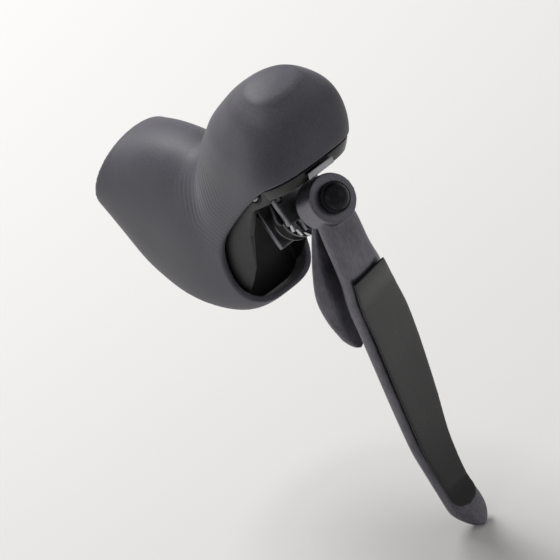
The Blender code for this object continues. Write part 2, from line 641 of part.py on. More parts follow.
def make_shift_axle():
    profile = [(0, 4.9), (2.6, 4.5), (4.4, 3.4), (5.2, 1.8), (5.2, GAP), (SHIFT_AXLE_RADIUS, GAP),
               (SHIFT_AXLE_RADIUS, -41.0), (0, -41.0)]
    return turned("shift_axle", profile, "Y", (0, 0, 0), SHIFT @ Matrix.Rotation(math.pi, 4, "Z"),
                  steel, steps=24)


# ---------------------------------------------------------------- blade and release paddle

def make_blade(hinge):
    blade = rod("brake_blade", 8.2, 0, 11, "Y", (0, 0, 0), SHIFT, satin_aluminium, sides=32)
    join(blade, loft("blade_arm", lever_rings(BLADE_STATIONS, 20, -14, -153.5), LIP, is_cutter=True))
    cut(blade,
        loft("blade_hollow", lever_rings(BLADE_STATIONS, 10, -47, -138, inset=2.0, shift=2.6), LIP,
             is_cutter=True),
        rod("blade_bush_seat", 3.9, -2, 13, "Y", (0, 0, 0), SHIFT, is_cutter=True),
        rod("blade_spring_seat", 5.8, 4, 13, "Y", (0, 0, 0), SHIFT, is_cutter=True))
    smooth(blade, 45)
    face = loft("blade_face", lever_rings(BLADE_STATIONS, 14, -42, -145, inset=0.9, shift=FACE_SHIFT,
                                          depth=FACE_DEPTH, power=5.0), LIP, gloss_plastic)
    bush = turned("blade_bush", [(3.6, 5.2), (3.6, -5.2), (SHIFT_AXLE_RADIUS + GAP, -5.2),
                                 (SHIFT_AXLE_RADIUS + GAP, 5.2)], "Y", (0, 5.5, 0), SHIFT, brass)
    spring = coil("blade_return_spring", 4.75, 0.8, 4, 4.6, "Y", (0, 4.9, 0), SHIFT, steel)
    for piece in (blade, face, bush, spring):
        hang(piece, hinge)


def make_paddle(hinge):
    paddle = rod("release_paddle", 6.4, 11.5, 14.9, "Y", (0, 0, 0), SHIFT, satin_aluminium)
    join(paddle, loft("paddle_arm", lever_rings(PADDLE_STATIONS, 11, -19.5, -77), LIP, is_cutter=True))
    cut(paddle, rod("paddle_hole", SHIFT_AXLE_RADIUS + GAP, 9, 17, "Y", (0, 0, 0), SHIFT, is_cutter=True))
    spring = coil("paddle_return_spring", 3.4, 0.7, 1.5, 1.5, "Y", (0, 15.7, 0), SHIFT, steel)
    for piece in (paddle, spring):
        hang(piece, hinge)


# ---------------------------------------------------------------- shift mechanism

def ratchet_outline():
    """Saw teeth in the shift frame's x and height."""
    outline = []
    for tooth in range(RATCHET_TEETH):
        angle = 2 * math.pi * tooth / RATCHET_TEETH
        step = 2 * math.pi / RATCHET_TEETH
        for radius, share in ((7.9, 0.0), (6.9, 0.06), (7.1, 0.4)):
            outline.append((radius * math.cos(angle + share * step), radius * math.sin(angle + share * step)))
    return outline


def make_spool():
    profile = [(SPOOL_RADIUS - 1.4, 7.6), (SPOOL_RADIUS - 1.4, 6.2), (5.6, 5.4), (5.6, 2.6),
               (SPOOL_RADIUS - 1.4, 1.8), (SPOOL_RADIUS - 1.4, 0.2), (3.4, 0.2), (3.4, -2.8),
               (SHIFT_AXLE_RADIUS + GAP, -2.8), (SHIFT_AXLE_RADIUS + GAP, 7.6)]
    spool = turned("cable_spool", profile, "Y", (0, 24.0, 0), SHIFT, nylon)
    cut(spool, rod("cable_seat", 1.6, 25.8, 30.2, "Y", (6.9, 0, 0), SHIFT, sides=16, is_cutter=True))
    ring = slab("ratchet_ring", ratchet_outline(), "Y", 21.4, 23.6, SHIFT, steel)
    cut(ring, rod("ratchet_bore", 3.7, 20, 25, "Y", (0, 0, 0), SHIFT, is_cutter=True))
    spring = coil("spool_spring", 4.6, 0.9, 2, 2.2, "Y", (0, 32.5, 0), SHIFT, steel)
    hinge = pivot("spool_axis", SHIFT)
    for piece in (spool, ring, spring):
        hang(piece, hinge)


def make_pawl(name, side):
    """A pawl that hangs beside the ratchet from its own pin."""
    pin_x = side * PAWL_X
    outline = [(side * x, z) for x, z in ((5.6, 9.7), (8.8, 9.8), (9.3, 6.0), (10.3, 2.6), (9.6, 0.6),
                                          (8.6, 1.4), (8.5, 4.4), (6.0, 6.9))]
    pawl = slab(name, outline, "Y", 21.5, 23.4, SHIFT, steel)
    cut(pawl, rod(name + "_hole", 1.2, 20, 25, "Y", (pin_x, 0, PAWL_T), SHIFT, sides=12, is_cutter=True))
    hang(pawl, pivot(name + "_hinge", SHIFT @ Matrix.Translation(Vector((pin_x, 22.5, PAWL_T)) * MM)))


clear_scene()
parts = new_collection("brake_shift_lever")
cutters = new_collection("cutters")

rubber = make_material("hood_rubber", (0.060, 0.058, 0.068), 0.62)
nylon = make_material("black_nylon", (0.020, 0.020, 0.023), 0.48)
gloss_plastic = make_material("black_gloss_plastic", (0.012, 0.012, 0.014), 0.25)
satin_aluminium = make_material("satin_grey_aluminium", (0.075, 0.072, 0.085), 0.36, 0.85)
aluminium = make_material("bare_aluminium", (0.42, 0.42, 0.44), 0.35, 1.0)
steel = make_material("plated_steel", (0.55, 0.55, 0.56), 0.3, 1.0)
brass = make_material("bronze_bush", (0.45, 0.33, 0.14), 0.35, 1.0)

make_body()
make_hood()
make_lip()
make_clamp()
make_cylinder()
make_reservoir()
make_piston()
make_ports()
make_brake_axle()
make_yoke()
swing_axis = pivot("shift_axis", SHIFT)
make_blade(swing_axis)
make_paddle(swing_axis)
make_spool()
for pawl_name, pawl_side in PAWLS:
    make_pawl(pawl_name, pawl_side)
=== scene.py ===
import math

import bmesh
import bpy
import numpy as np
from mathutils import Matrix, Vector


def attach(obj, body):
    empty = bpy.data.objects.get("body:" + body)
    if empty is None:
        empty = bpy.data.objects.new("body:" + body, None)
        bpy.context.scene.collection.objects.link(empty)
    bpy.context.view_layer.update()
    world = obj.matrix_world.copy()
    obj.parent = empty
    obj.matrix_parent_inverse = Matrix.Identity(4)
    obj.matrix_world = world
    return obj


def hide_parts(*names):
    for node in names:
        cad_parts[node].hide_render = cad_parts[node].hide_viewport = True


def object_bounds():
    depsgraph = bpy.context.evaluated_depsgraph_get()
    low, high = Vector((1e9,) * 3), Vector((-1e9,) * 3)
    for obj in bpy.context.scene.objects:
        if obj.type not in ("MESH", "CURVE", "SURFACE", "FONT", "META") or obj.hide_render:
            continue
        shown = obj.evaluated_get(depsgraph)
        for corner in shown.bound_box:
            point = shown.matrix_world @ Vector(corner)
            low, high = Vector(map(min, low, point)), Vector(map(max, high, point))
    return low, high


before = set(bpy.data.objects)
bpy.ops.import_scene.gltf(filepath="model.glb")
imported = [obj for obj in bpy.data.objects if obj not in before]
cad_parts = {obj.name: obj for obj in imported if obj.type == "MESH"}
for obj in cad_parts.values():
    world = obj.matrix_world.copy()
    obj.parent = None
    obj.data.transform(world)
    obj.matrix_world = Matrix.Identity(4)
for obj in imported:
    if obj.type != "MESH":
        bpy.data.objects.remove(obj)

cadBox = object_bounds()
mm = 0.001
gap = 0.3    # clearance between pieces that touch
print("frame loaded:", len(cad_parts), "nodes")


# shaders

def hexColour(text):
    out = []
    for i in (1, 3, 5):
        c = int(text[i:i + 2], 16) / 255
        out.append(c / 12.92 if c <= 0.04045 else ((c + 0.055) / 1.055) ** 2.4)
    return (*out, 1.0)


def perMm(size):
    return 1000.0 / size    # texture scale for a feature this many millimetres across


def addNode(tree, kind, inputs=None, **settings):
    node = tree.nodes.new(kind)
    for key, value in settings.items():
        setattr(node, key, value)
    for key, value in (inputs or {}).items():
        if isinstance(value, bpy.types.NodeSocket):
            tree.links.new(value, node.inputs[key])
        else:
            node.inputs[key].default_value = value
    return node


# colours, patch size in mm, roughness and its range, metallic, grain size and depth in mm
def surfaceMaterial(name, light, dark, patch, rough, roughRange, metal, grain, depth, stretch=(1, 1, 1),
                    sheen=0.0, speckle=None):
    material = bpy.data.materials.new(name)
    material.use_nodes = True
    tree = material.node_tree
    shader = tree.nodes["Principled BSDF"]
    place = addNode(tree, "ShaderNodeTexCoord")
    spread = addNode(tree, "ShaderNodeMapping", {"Vector": place.outputs["Object"], "Scale": stretch})
    broad = addNode(tree, "ShaderNodeTexNoise",
                    {"Vector": place.outputs["Object"], "Scale": perMm(patch), "Detail": 4.0})
    fine = addNode(tree, "ShaderNodeTexNoise",
                   {"Vector": spread.outputs[0], "Scale": perMm(grain), "Detail": 3.0, "Roughness": 0.6})
    blend = addNode(tree, "ShaderNodeMath", {0: broad.outputs[0], 1: fine.outputs[0]}, operation="ADD")
    share = addNode(tree, "ShaderNodeMapRange",
                    {"Value": blend.outputs[0], "From Min": 0.75, "From Max": 1.25})
    tone = addNode(tree, "ShaderNodeMix", {0: share.outputs[0], 6: hexColour(dark), 7: hexColour(light)},
                   data_type="RGBA")
    colour = tone.outputs[2]
    if speckle:
        dots = addNode(tree, "ShaderNodeTexVoronoi",
                       {"Vector": spread.outputs[0], "Scale": perMm(speckle[0])})
        near = addNode(tree, "ShaderNodeMapRange", {"Value": dots.outputs["Distance"], "From Min": 0.05,
                                                    "From Max": 0.25, "To Min": speckle[1], "To Max": 0.0})
        fleck = addNode(tree, "ShaderNodeMix", {0: near.outputs[0], 6: colour, 7: hexColour(speckle[2])},
                        data_type="RGBA")
        colour = fleck.outputs[2]
    tree.links.new(colour, shader.inputs["Base Color"])
    gloss = addNode(tree, "ShaderNodeMapRange", {"Value": share.outputs[0], "To Min": rough - roughRange,
                                                 "To Max": rough + roughRange})
    tree.links.new(gloss.outputs[0], shader.inputs["Roughness"])
    bump = addNode(tree, "ShaderNodeBump",
                   {"Height": fine.outputs[0], "Strength": 0.5, "Distance": depth * mm})
    tree.links.new(bump.outputs[0], shader.inputs["Normal"])
    shader.inputs["Metallic"].default_value = metal
    if sheen:
        shader.inputs["Sheen Weight"].default_value = sheen
        shader.inputs["Sheen Roughness"].default_value = 0.5
    return material


# moulded thermoplastic rubber from a spark-eroded mould: dull, a little blue, with a fine matt grain
mouldedRubber = surfaceMaterial("mouldedThermoplasticRubber", "#504e57", "#413f48", 14, 0.6, 0.06, 0.0,
                                0.8, 0.10, sheen=0.12)
mouldedRubber.node_tree.nodes["Principled BSDF"].inputs["IOR"].default_value = 1.5
# glass-filled nylon, injection moulded: black with pale fibre flecks and a satin skin
filledNylon = surfaceMaterial("glassFilledNylon", "#18181b", "#101012", 9, 0.52, 0.05, 0.0, 0.6, 0.05,
                              speckle=(1.1, 0.10, "#5a5a5e"))
# ABS moulded against a polished tool: deep gloss with a faint orange peel
polishedAbs = surfaceMaterial("polishedBlackAbs", "#0d0d10", "#070709", 20, 0.3, 0.04, 0.0, 1.6, 0.012)
# forged aluminium, bead blasted then anodised dark grey: satin, streaked a little along its length
anodisedAluminium = surfaceMaterial("anodisedDarkAluminium", "#737178", "#5b5960", 12, 0.37, 0.05, 0.85,
                                    0.7, 0.02, stretch=(1, 1, 0.25))
# die-cast aluminium, tumbled: grey with a soft cast skin
castAluminium = surfaceMaterial("tumbledCastAluminium", "#8f8f94", "#747479", 7, 0.42, 0.07, 1.0, 0.9, 0.05)
# zinc-plated steel: bright with faint blue and yellow drift
zincSteel = surfaceMaterial("zincPlatedSteel", "#c3c5ca", "#a6a69f", 5, 0.26, 0.05, 1.0, 0.6, 0.015)
# music wire drawn through a die: dark and bright lines along the wire
springWire = surfaceMaterial("drawnSpringWire", "#a5a6aa", "#7f8085", 3, 0.3, 0.06, 1.0, 0.4, 0.01)
# blackened steel from a hot oxide bath: near black with a dull shine
blackSteel = surfaceMaterial("blackOxideSteel", "#2c2c30", "#1c1c1f", 5, 0.36, 0.06, 0.9, 0.6, 0.02)
# sintered bronze soaked in oil: brown-gold and slightly pitted
sinteredBronze = surfaceMaterial("sinteredOilBronze", "#a67b45", "#7f5c31", 3, 0.4, 0.06, 1.0, 0.5, 0.03)
# acetal turned from bar: waxy off-black with fine lathe marks
turnedAcetal = surfaceMaterial("turnedAcetal", "#26262a", "#1c1c1f", 6, 0.34, 0.04, 0.0, 0.5, 0.02,
                               stretch=(1, 1, 4))
# nitrile seal rubber, pressed: smooth black with a slight bloom
pressedNitrile = surfaceMaterial("pressedNitrileSeal", "#2b2a2b", "#1d1c1d", 4, 0.5, 0.06, 0.0, 0.5, 0.02)
# stainless sheet with a brushed grain running across it
brushedStainless = surfaceMaterial("brushedStainlessSheet", "#b4b4b8", "#8f8f94", 6, 0.34, 0.06, 1.0,
                                   0.35, 0.01, stretch=(0.12, 1, 1))
print("materials made")


# frames

fromClamp = Vector((0.0, 75.3, -54.8))    # clamp centre, from the lip's front centre


def leaningFrame(origin, degrees):
    place = Matrix.Translation((Vector(origin) - fromClamp) * mm)
    return place @ Matrix.Rotation(math.radians(degrees), 4, "X")


lipFrame = leaningFrame((0, 0, 0), 0)
clampFrame = leaningFrame(fromClamp, -35)
shiftFrame = leaningFrame((0, -4, -11), -34)
cylinderFrame = leaningFrame((0, 29, 0), 22)
brakeFrame = leaningFrame((0, 19, -7), 0)
turnTo = {"X": Matrix.Rotation(math.radians(90), 4, "Y"), "Y": Matrix.Rotation(math.radians(-90), 4, "X"),
          "Z": Matrix.Identity(4)}


# mesh tools

def addObject(name, bm, place, material=None):
    bmesh.ops.recalc_face_normals(bm, faces=bm.faces)
    mesh = bpy.data.meshes.new(name)
    bm.to_mesh(mesh)
    bm.free()
    obj = bpy.data.objects.new(name, mesh)
    bpy.context.scene.collection.objects.link(obj)
    obj.matrix_world = place
    if material:
        mesh.materials.append(material)
    return obj


def block(name, low, high, place, material=None):
    low, high = Vector(low), Vector(high)
    bm = bmesh.new()
    bmesh.ops.create_cube(bm, size=1.0)
    bmesh.ops.scale(bm, vec=(high - low) * mm, verts=bm.verts)
    bmesh.ops.translate(bm, vec=(low + high) / 2 * mm, verts=bm.verts)
    return addObject(name, bm, place, material)


def rod(name, radius, start, end, axis, at, place, material=None, sides=64):
    bm = bmesh.new()
    bmesh.ops.create_cone(bm, cap_ends=True, segments=sides, radius1=radius * mm, radius2=radius * mm,
                          depth=(end - start) * mm)
    bmesh.ops.translate(bm, vec=(0, 0, (start + end) / 2 * mm), verts=bm.verts)
    bmesh.ops.transform(bm, matrix=turnTo[axis], verts=bm.verts)
    bmesh.ops.translate(bm, vec=Vector(at) * mm, verts=bm.verts)
    return addObject(name, bm, place, material)


def slab(name, outline, axis, start, end, place, material=None):
    corner = {"X": lambda p: (start, p[0], p[1]), "Y": lambda p: (p[0], start, p[1]),
              "Z": lambda p: (p[0], p[1], start)}[axis]
    along = {"X": (1, 0, 0), "Y": (0, 1, 0), "Z": (0, 0, 1)}[axis]
    bm = bmesh.new()
    face = bm.faces.new([bm.verts.new(Vector(corner(p)) * mm) for p in outline])
    grown = bmesh.ops.extrude_face_region(bm, geom=[face])
    moved = [item for item in grown["geom"] if isinstance(item, bmesh.types.BMVert)]
    bmesh.ops.translate(bm, vec=Vector(along) * (end - start) * mm, verts=moved)
    return addObject(name, bm, place, material)


def loft(name, rings, place, material=None):
    bm = bmesh.new()
    loops = [[bm.verts.new(Vector(point) * mm) for point in ring] for ring in rings]
    for lower, upper in zip(loops, loops[1:]):
        for i in range(len(lower)):
            j = (i + 1) % len(lower)
            bm.faces.new((lower[i], lower[j], upper[j], upper[i]))
    bm.faces.new(loops[0])
    bm.faces.new(loops[-1])
    bmesh.ops.triangulate(bm, faces=bm.faces)
    return addObject(name, bm, place, material)


def applyAll(obj):
    bpy.context.view_layer.update()
    mesh = bpy.data.meshes.new_from_object(obj.evaluated_get(bpy.context.evaluated_depsgraph_get()))
    obj.modifiers.clear()
    obj.data = mesh
    return obj


def combine(obj, operation, *tools):
    for tool in tools:
        change = obj.modifiers.new("Change", "BOOLEAN")
        change.operation, change.solver, change.object = operation, "EXACT", tool
    applyAll(obj)
    for tool in tools:
        bpy.data.objects.remove(tool, do_unlink=True)
    return obj


def soften(obj, voxel, passes):
    remesh = obj.modifiers.new("Remesh", "REMESH")
    remesh.mode, remesh.voxel_size, remesh.use_smooth_shade = "VOXEL", voxel * mm, True
    relax = obj.modifiers.new("Relax", "SMOOTH")
    relax.factor, relax.iterations = 0.5, passes
    return applyAll(obj)


def smoothShade(obj, angle=35):
    obj.data.shade_smooth()
    obj.data.set_sharp_from_angle(angle=math.radians(angle))
    return obj


def roundEdges(obj, width, segments=3):
    bevel = obj.modifiers.new("Edges", "BEVEL")
    bevel.width, bevel.segments, bevel.limit_method = width * mm, segments, "ANGLE"
    bevel.angle_limit, bevel.harden_normals = math.radians(35), False
    applyAll(obj)
    return smoothShade(obj)


def finishPiece(obj, body, slotName, *nodes):
    obj.data.transform(obj.matrix_world)    # vertices in the object's own frame, so its box is square to it
    obj.matrix_world = Matrix.Identity(4)
    if nodes:
        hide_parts(*nodes)
    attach(obj, body)
    return obj


def turned(name, profile, axis, at, place, material, steps=72, angle=30):
    bm = bmesh.new()
    verts = [bm.verts.new((radius * mm, 0, height * mm)) for radius, height in profile]
    for first, second in zip(verts, verts[1:]):
        bm.edges.new((first, second))
    if min(radius for radius, height in profile) > 0:
        bm.edges.new((verts[-1], verts[0]))
    mesh = bpy.data.meshes.new(name)
    bm.to_mesh(mesh)
    bm.free()
    obj = bpy.data.objects.new(name, mesh)
    bpy.context.scene.collection.objects.link(obj)
    obj.matrix_world = place @ Matrix.Translation(Vector(at) * mm) @ turnTo[axis]
    mesh.materials.append(material)
    screw = obj.modifiers.new("Spin", "SCREW")
    screw.steps = screw.render_steps = steps
    screw.use_merge_vertices, screw.merge_threshold = True, 0.01 * mm
    applyAll(obj)
    bm = bmesh.new()
    bm.from_mesh(obj.data)
    bmesh.ops.recalc_face_normals(bm, faces=bm.faces)
    bm.to_mesh(obj.data)
    bm.free()
    return smoothShade(obj, angle)


def splineAt(rows, t):
    last = len(rows) - 1
    i = min(int(t), last - 1)
    u = t - i
    before, start, end, after = rows[max(i - 1, 0)], rows[i], rows[i + 1], rows[min(i + 2, last)]
    return [0.5 * (2 * b + (c - a) * u + (2 * a - 5 * b + 4 * c - d) * u ** 2
                   + (3 * b - a - 3 * c + d) * u ** 3)
            for a, b, c, d in zip(before, start, end, after)]


def roundedSquare(power, count, lowPower=None):
    points = []
    for i in range(count):
        angle = 2 * math.pi * i / count
        c, s = math.cos(angle), math.sin(angle)
        share = 2 / (lowPower if lowPower and c < 0 else power)
        points.append((math.copysign(abs(c) ** share, c), math.copysign(abs(s) ** share, s)))
    return points


# hood and body

hoodValues = {
    "wall": 2.2,    # rubber thickness
    "bodyInset": 2.9,    # moulded body below the hood's outer surface
    "voxel": 0.5,
    "points": 96,
    "crownStep": 5.0,
    "lean": 3.0,    # the horn's top leans this far to the outer side
    "leanFrom": -4.0,
    "leanRise": 22.0,
    "outerFullness": 2.2,    # its outer side is fuller than its inner side
    "fullFrom": -13.0,
    "fullRise": 12.0,
    "crown": ((0.93, 0.35), (0.82, 0.8), (0.62, 1.2), (0.4, 1.5), (0.2, 1.7)),
    # top (y, z), bottom (y, z), half width, its slope to the top, squareness above and below
    "stations": [
        (99.5, -20.5, 114.0, -54.5, 17.4, 0.0, 2.0, 2.0),
        (86.0, -16.3, 105.5, -64.0, 17.3, 0.0, 2.1, 2.5),
        (72.5, -14.4, 91.0, -72.0, 17.3, -0.2, 2.2, 3.6),
        (62.0, -15.0, 68.0, -75.0, 17.4, -0.9, 2.3, 4.2),
        (56.2, -12.6, 44.0, -69.0, 16.5, -1.0, 2.4, 3.4),
        (52.8, -6.6, 27.0, -52.0, 16.3, -0.3, 2.5, 2.6),
        (49.0, -0.8, 12.5, -30.0, 16.6, -0.8, 2.6, 2.6),
        (45.0, 4.6, 2.0, -10.0, 17.2, -1.8, 2.8, 2.8),
        (41.5, 9.6, -2.0, 1.0, 17.6, -2.4, 2.9, 2.9),
        (36.5, 15.0, -0.9, 9.9, 16.6, -2.6, 2.8, 2.8),
        (31.0, 20.2, 2.2, 17.4, 14.2, -2.0, 2.5, 2.5),
        (24.5, 24.5, 8.0, 23.2, 9.0, -1.0, 2.3, 2.3),
    ],
    "ribPitch": 2.6,    # moulded grip ribs on both flanks
    "ribHeight": 0.09,
}
lipSlope = -0.45    # fall of the lip towards the rear


def ease(share):
    share = min(max(share, 0.0), 1.0)
    return share * share * (3 - 2 * share)


def hornShift(across, height):
    v = hoodValues
    lean = v["lean"] * ease((height - v["leanFrom"]) / v["leanRise"])
    return lean + v["outerFullness"] * max(across, 0.0) * ease((height - v["fullFrom"]) / v["fullRise"])


def hoodRings(inset, count, first=0.0):
    rows = hoodValues["stations"]
    points = hoodValues["points"]
    last = len(rows) - 1 - inset / hoodValues["crownStep"]
    rings = []
    for step in range(count):
        t = first + (last - first) * step / (count - 1)
        topY, topZ, lowY, lowZ, width, slope, power, lowPower = splineAt(rows, t)
        middle = Vector(((topY + lowY) / 2, (topZ + lowZ) / 2))
        half = Vector(((topY - lowY) / 2, (topZ - lowZ) / 2))
        half -= half.normalized() * inset
        rings.append([Vector((b * (width + slope * a - inset) + hornShift(b, middle.y + half.y * a),
                              middle.x + half.x * a, middle.y + half.y * a))
                      for a, b in roundedSquare(power, points, lowPower)])
    centre = sum(rings[-1], Vector()) / points
    for shrink, rise in hoodValues["crown"]:
        rings.append([centre + (p - centre) * shrink + Vector((0, 0, rise)) for p in rings[count - 1]])
    return rings


def lipLine(y, drop):
    return (y, 2.0 - drop + lipSlope * y)


def barTool(name, radius):
    bend = 35.0
    centre = Vector((69.0 + bend, -74.9))
    begin, end = math.radians(113), math.radians(180)
    path = []
    for step in range(25):
        angle = begin + (end - begin) * step / 24
        path.append(Vector((0, centre.x + bend * math.cos(angle), centre.y + bend * math.sin(angle))))
    ramp = Vector((0, math.sin(begin), -math.cos(begin)))
    path = [path[0] + ramp * 60] + path + [path[-1] + Vector((0, 0, -50))]
    rings = []
    for i, point in enumerate(path):
        along = (path[min(i + 1, len(path) - 1)] - path[max(i - 1, 0)]).normalized()
        up = Vector((1, 0, 0)).cross(along)
        rings.append([point + Vector((radius * math.cos(a), 0, 0)) + up * radius * math.sin(a)
                      for a in (2 * math.pi * k / 64 for k in range(64))])
    return loft(name, rings, lipFrame)


mouthOutline = [lipLine(-20, 0), (-20, -95), (30, -95), (30, -75), (37, -64), (42, -59), (45, -52),
                (45.5, -43), (42, -35), (33, -25), (21.5, -13.5), lipLine(8, 0)]


def cornersRounded(outline, passes=2):
    for _ in range(passes):
        out = []
        for a, b in zip(outline, outline[1:] + outline[:1]):
            a, b = Vector(a), Vector(b)
            cut = min(0.25, 2.5 / max((b - a).length, 0.01))    # 2.5 mm off each corner
            out += [tuple(a.lerp(b, cut)), tuple(b.lerp(a, cut))]
        outline = out
    return outline


def addGripRibs(hood):    # raised chevron ribs on the flanks of the grip
    count = len(hood.data.vertices)
    where, normal = np.empty(count * 3), np.empty(count * 3)
    hood.data.vertices.foreach_get("co", where)
    hood.data.vertices.foreach_get("normal", normal)
    where, normal = where.reshape(-1, 3) / mm, normal.reshape(-1, 3)
    y, z, side = where[:, 1], where[:, 2], np.abs(normal[:, 0])
    outward = np.sign(where[:, 0]) * normal[:, 0] > 0.35
    along = y * 0.74 - z * 0.67
    across = y * 0.67 + z * 0.74
    wave = np.sin(2 * math.pi * (along + 0.55 * np.abs(across - 12)) / hoodValues["ribPitch"])
    zone = np.clip((along - 30) / 5, 0, 1) * np.clip((66 - along) / 5, 0, 1)
    zone *= np.clip((across + 6) / 4, 0, 1) * np.clip((30 - across) / 4, 0, 1)
    zone *= np.clip((side - 0.6) / 0.25, 0, 1) * outward
    lift = hoodValues["ribHeight"] * np.clip(wave, -0.2, 0.8) * zone
    where += normal * lift[:, None]
    hood.data.vertices.foreach_set("co", (where * mm).ravel())
    hood.data.update()


def makeHood():
    v = hoodValues
    hood = loft("hoodRubber", hoodRings(0.1, 90), lipFrame, mouldedRubber)
    combine(hood, "DIFFERENCE",
            loft("hollow", hoodRings(v["wall"], 80, first=0.15), lipFrame),
            barTool("taped", 15.3),
            slab("mouth", cornersRounded(mouthOutline), "X", -25, 25, lipFrame),
            block("foot", (-25, 20, -95), (25, 100, -69.5), lipFrame))
    soften(hood, v["voxel"], 5)
    addGripRibs(hood)
    finishPiece(hood, "bracket", "hood_rubber", "hood_cover")


makeHood()
print("hood made")


def makeLip():
    cover = loft("lipCover", hoodRings(0.5, 80), lipFrame, polishedAbs)
    band = [lipLine(-20, 0.4), lipLine(-20, 4.6), lipLine(7.8, 4.6), lipLine(7.8, 0.4)]
    combine(cover, "INTERSECT", slab("band", band, "X", -25, 25, lipFrame))
    combine(cover, "DIFFERENCE", loft("hollow", hoodRings(hoodValues["bodyInset"] - gap, 80), lipFrame))
    soften(cover, 0.22, 5)
    finishPiece(cover, "bracket", "black_gloss_plastic", "lip_cover")
    plate = block("lipPlate", (-5.2, -2.75, -0.9), (5.2, -2.15, 1.5), lipFrame, brushedStainless)
    roundEdges(plate, 0.25)
    finishPiece(plate, "bracket", "plated_steel", "lip_badge")


makeLip()

bodyValues = {
    "voxel": 0.5,
    "mouth": [lipLine(-20, 4.8), (-20, -95), (36, -95), (36, -62), (34, -46), (29, -30), (22, -17),
              (13, -11.5), lipLine(9, 4.8)],
    "cavity": [(-20, -6.5), (-20, -95), (44, -95), (46, -66), (49, -50), (49, -22), (41, -9), (34, -1.2),
               (12, -1.2), (8, -6.2)],
    "behindBar": [(75, -54), (81, -48.5), (90, -43), (150, -18), (150, -110), (69, -110), (69, -76)],
}


def makeBody():
    v = bodyValues
    body = loft("bracketBody", hoodRings(hoodValues["bodyInset"], 70), lipFrame, filledNylon)
    tools = [barTool("bare", 12.3), slab("behind", v["behindBar"], "X", -25, 25, lipFrame),
             block("rear", (-25, 84, -60), (25, 130, 10), lipFrame),
             block("foot", (-25, 20, -95), (25, 100, -68.2), lipFrame),
             slab("mouth", v["mouth"], "X", -25, 25, lipFrame),
             slab("cavity", v["cavity"], "X", -11.3, 11.3, lipFrame),
             rod("cylinderHole", 6.9, -10, 17.9, "Z", (0, 0, 0), cylinderFrame),
             rod("bleedSeat", 2.9, 19.8, 32, "Z", (0, 0, 0), cylinderFrame),
             block("lidRecess", (-23, 5.2, -0.4), (-8.9, 15.4, 11.8), lipFrame),
             block("pocket", (-22, 6.2, 2.7), (9.5, 14.2, 8.9), lipFrame),
             rod("axleHole", 2.8, -30, 30, "X", (0, 0, 0), brakeFrame),
             rod("clipSeatA", 5.0, -25, -13.4, "X", (0, 0, 0), brakeFrame),
             rod("clipSeatB", 5.0, 13.4, 25, "X", (0, 0, 0), brakeFrame)]
    for side in (-1, 1):
        low, high = sorted((side * 12.0, side * 25.0))
        tools.append(block("bandRecess", (low, -12.3, -6), (high, 25, 6), clampFrame))
        tools.append(rod("port", 3.2, 75, 90, "Y", (side * 6, 0, -24.5), lipFrame))
    tools += [block("lugRecess", (7.9, -17.3, -6), (25, 0, 6), clampFrame),
              rod("boltHole", 1.6, -40, -10, "Y", (10, 0, 0), clampFrame),
              rod("headSeat", 3.7, -45, -26.7, "Y", (10, 0, 0), clampFrame)]
    combine(body, "DIFFERENCE", *tools)
    soften(body, v["voxel"], 3)
    finishPiece(body, "bracket", "black_nylon", "bracket_body")


makeBody()
print("lip and body made")


# clamp and ports

clampValues = {"inner": 12.3, "outer": 13.7, "reach": 12.0, "halfWidth": 5.5, "boltX": 10.0}


def bandOutline(inner, outer, reach):    # a half ring behind the bar and two straight legs
    steps = 60
    outline = [(-outer, -reach)]
    outline += [(outer * math.cos(math.pi - math.pi * k / steps), outer * math.sin(math.pi * k / steps))
                for k in range(steps + 1)]
    outline += [(outer, -reach), (inner, -reach)]
    outline += [(inner * math.cos(math.pi * k / steps), inner * math.sin(math.pi * k / steps))
                for k in range(steps + 1)]
    return outline + [(-inner, -reach)]


def makeClamp():
    v = clampValues
    x = v["boltX"]
    band = slab("clampBand", bandOutline(v["inner"], v["outer"], v["reach"]), "Z", -v["halfWidth"],
                v["halfWidth"], clampFrame, zincSteel)
    combine(band, "UNION", block("lug", (8.3, -17, -5.5), (13.7, -11.9, 5.5), clampFrame))
    combine(band, "DIFFERENCE", rod("lugHole", 1.5, -20, -9, "Y", (x, 0, 0), clampFrame),
            rod("pinHole", 1.8, -20, -9, "X", (0, -8, 0), clampFrame))
    roundEdges(band, 0.3)
    finishPiece(band, "bracket", "plated_steel", "clamp_band")
    profile = [(0, -27.2), (1.2, -27.2), (1.2, -9.7), (0.9, -9.4), (0, -9.4)][::-1]
    bolt = turned("clampBolt", profile, "Y", (x, 0, 0), clampFrame, blackSteel)
    profile = [(0, -27.0), (3.3, -27.0), (3.3, -30.1), (2.9, -30.6), (0, -30.6)]
    head = turned("boltHead", profile, "Y", (x, 0, 0), clampFrame, blackSteel)
    combine(bolt, "UNION", head)
    combine(bolt, "DIFFERENCE", rod("socket", 1.8, -33, -28.8, "Y", (x, 0, 0), clampFrame, sides=6))
    smoothShade(bolt)
    finishPiece(bolt, "bracket", "plated_steel", "clamp_bolt")
    nut = block("clampNut", (8.0, -11.5, -3.2), (12.0, -9.4, 3.2), clampFrame, zincSteel)
    combine(nut, "DIFFERENCE", rod("thread", 1.5, -15, -5, "Y", (x, 0, 0), clampFrame))
    finishPiece(roundEdges(nut, 0.25), "bracket", "plated_steel", "clamp_nut")
    profile = [(0, -6.0), (1.2, -6.0), (1.5, -6.3), (1.5, -13.7), (1.2, -14.0), (0, -14.0)]
    pin = turned("clampPin", profile, "X", (0, -8, 0), clampFrame, zincSteel)
    finishPiece(pin, "bracket", "plated_steel", "clamp_pin")


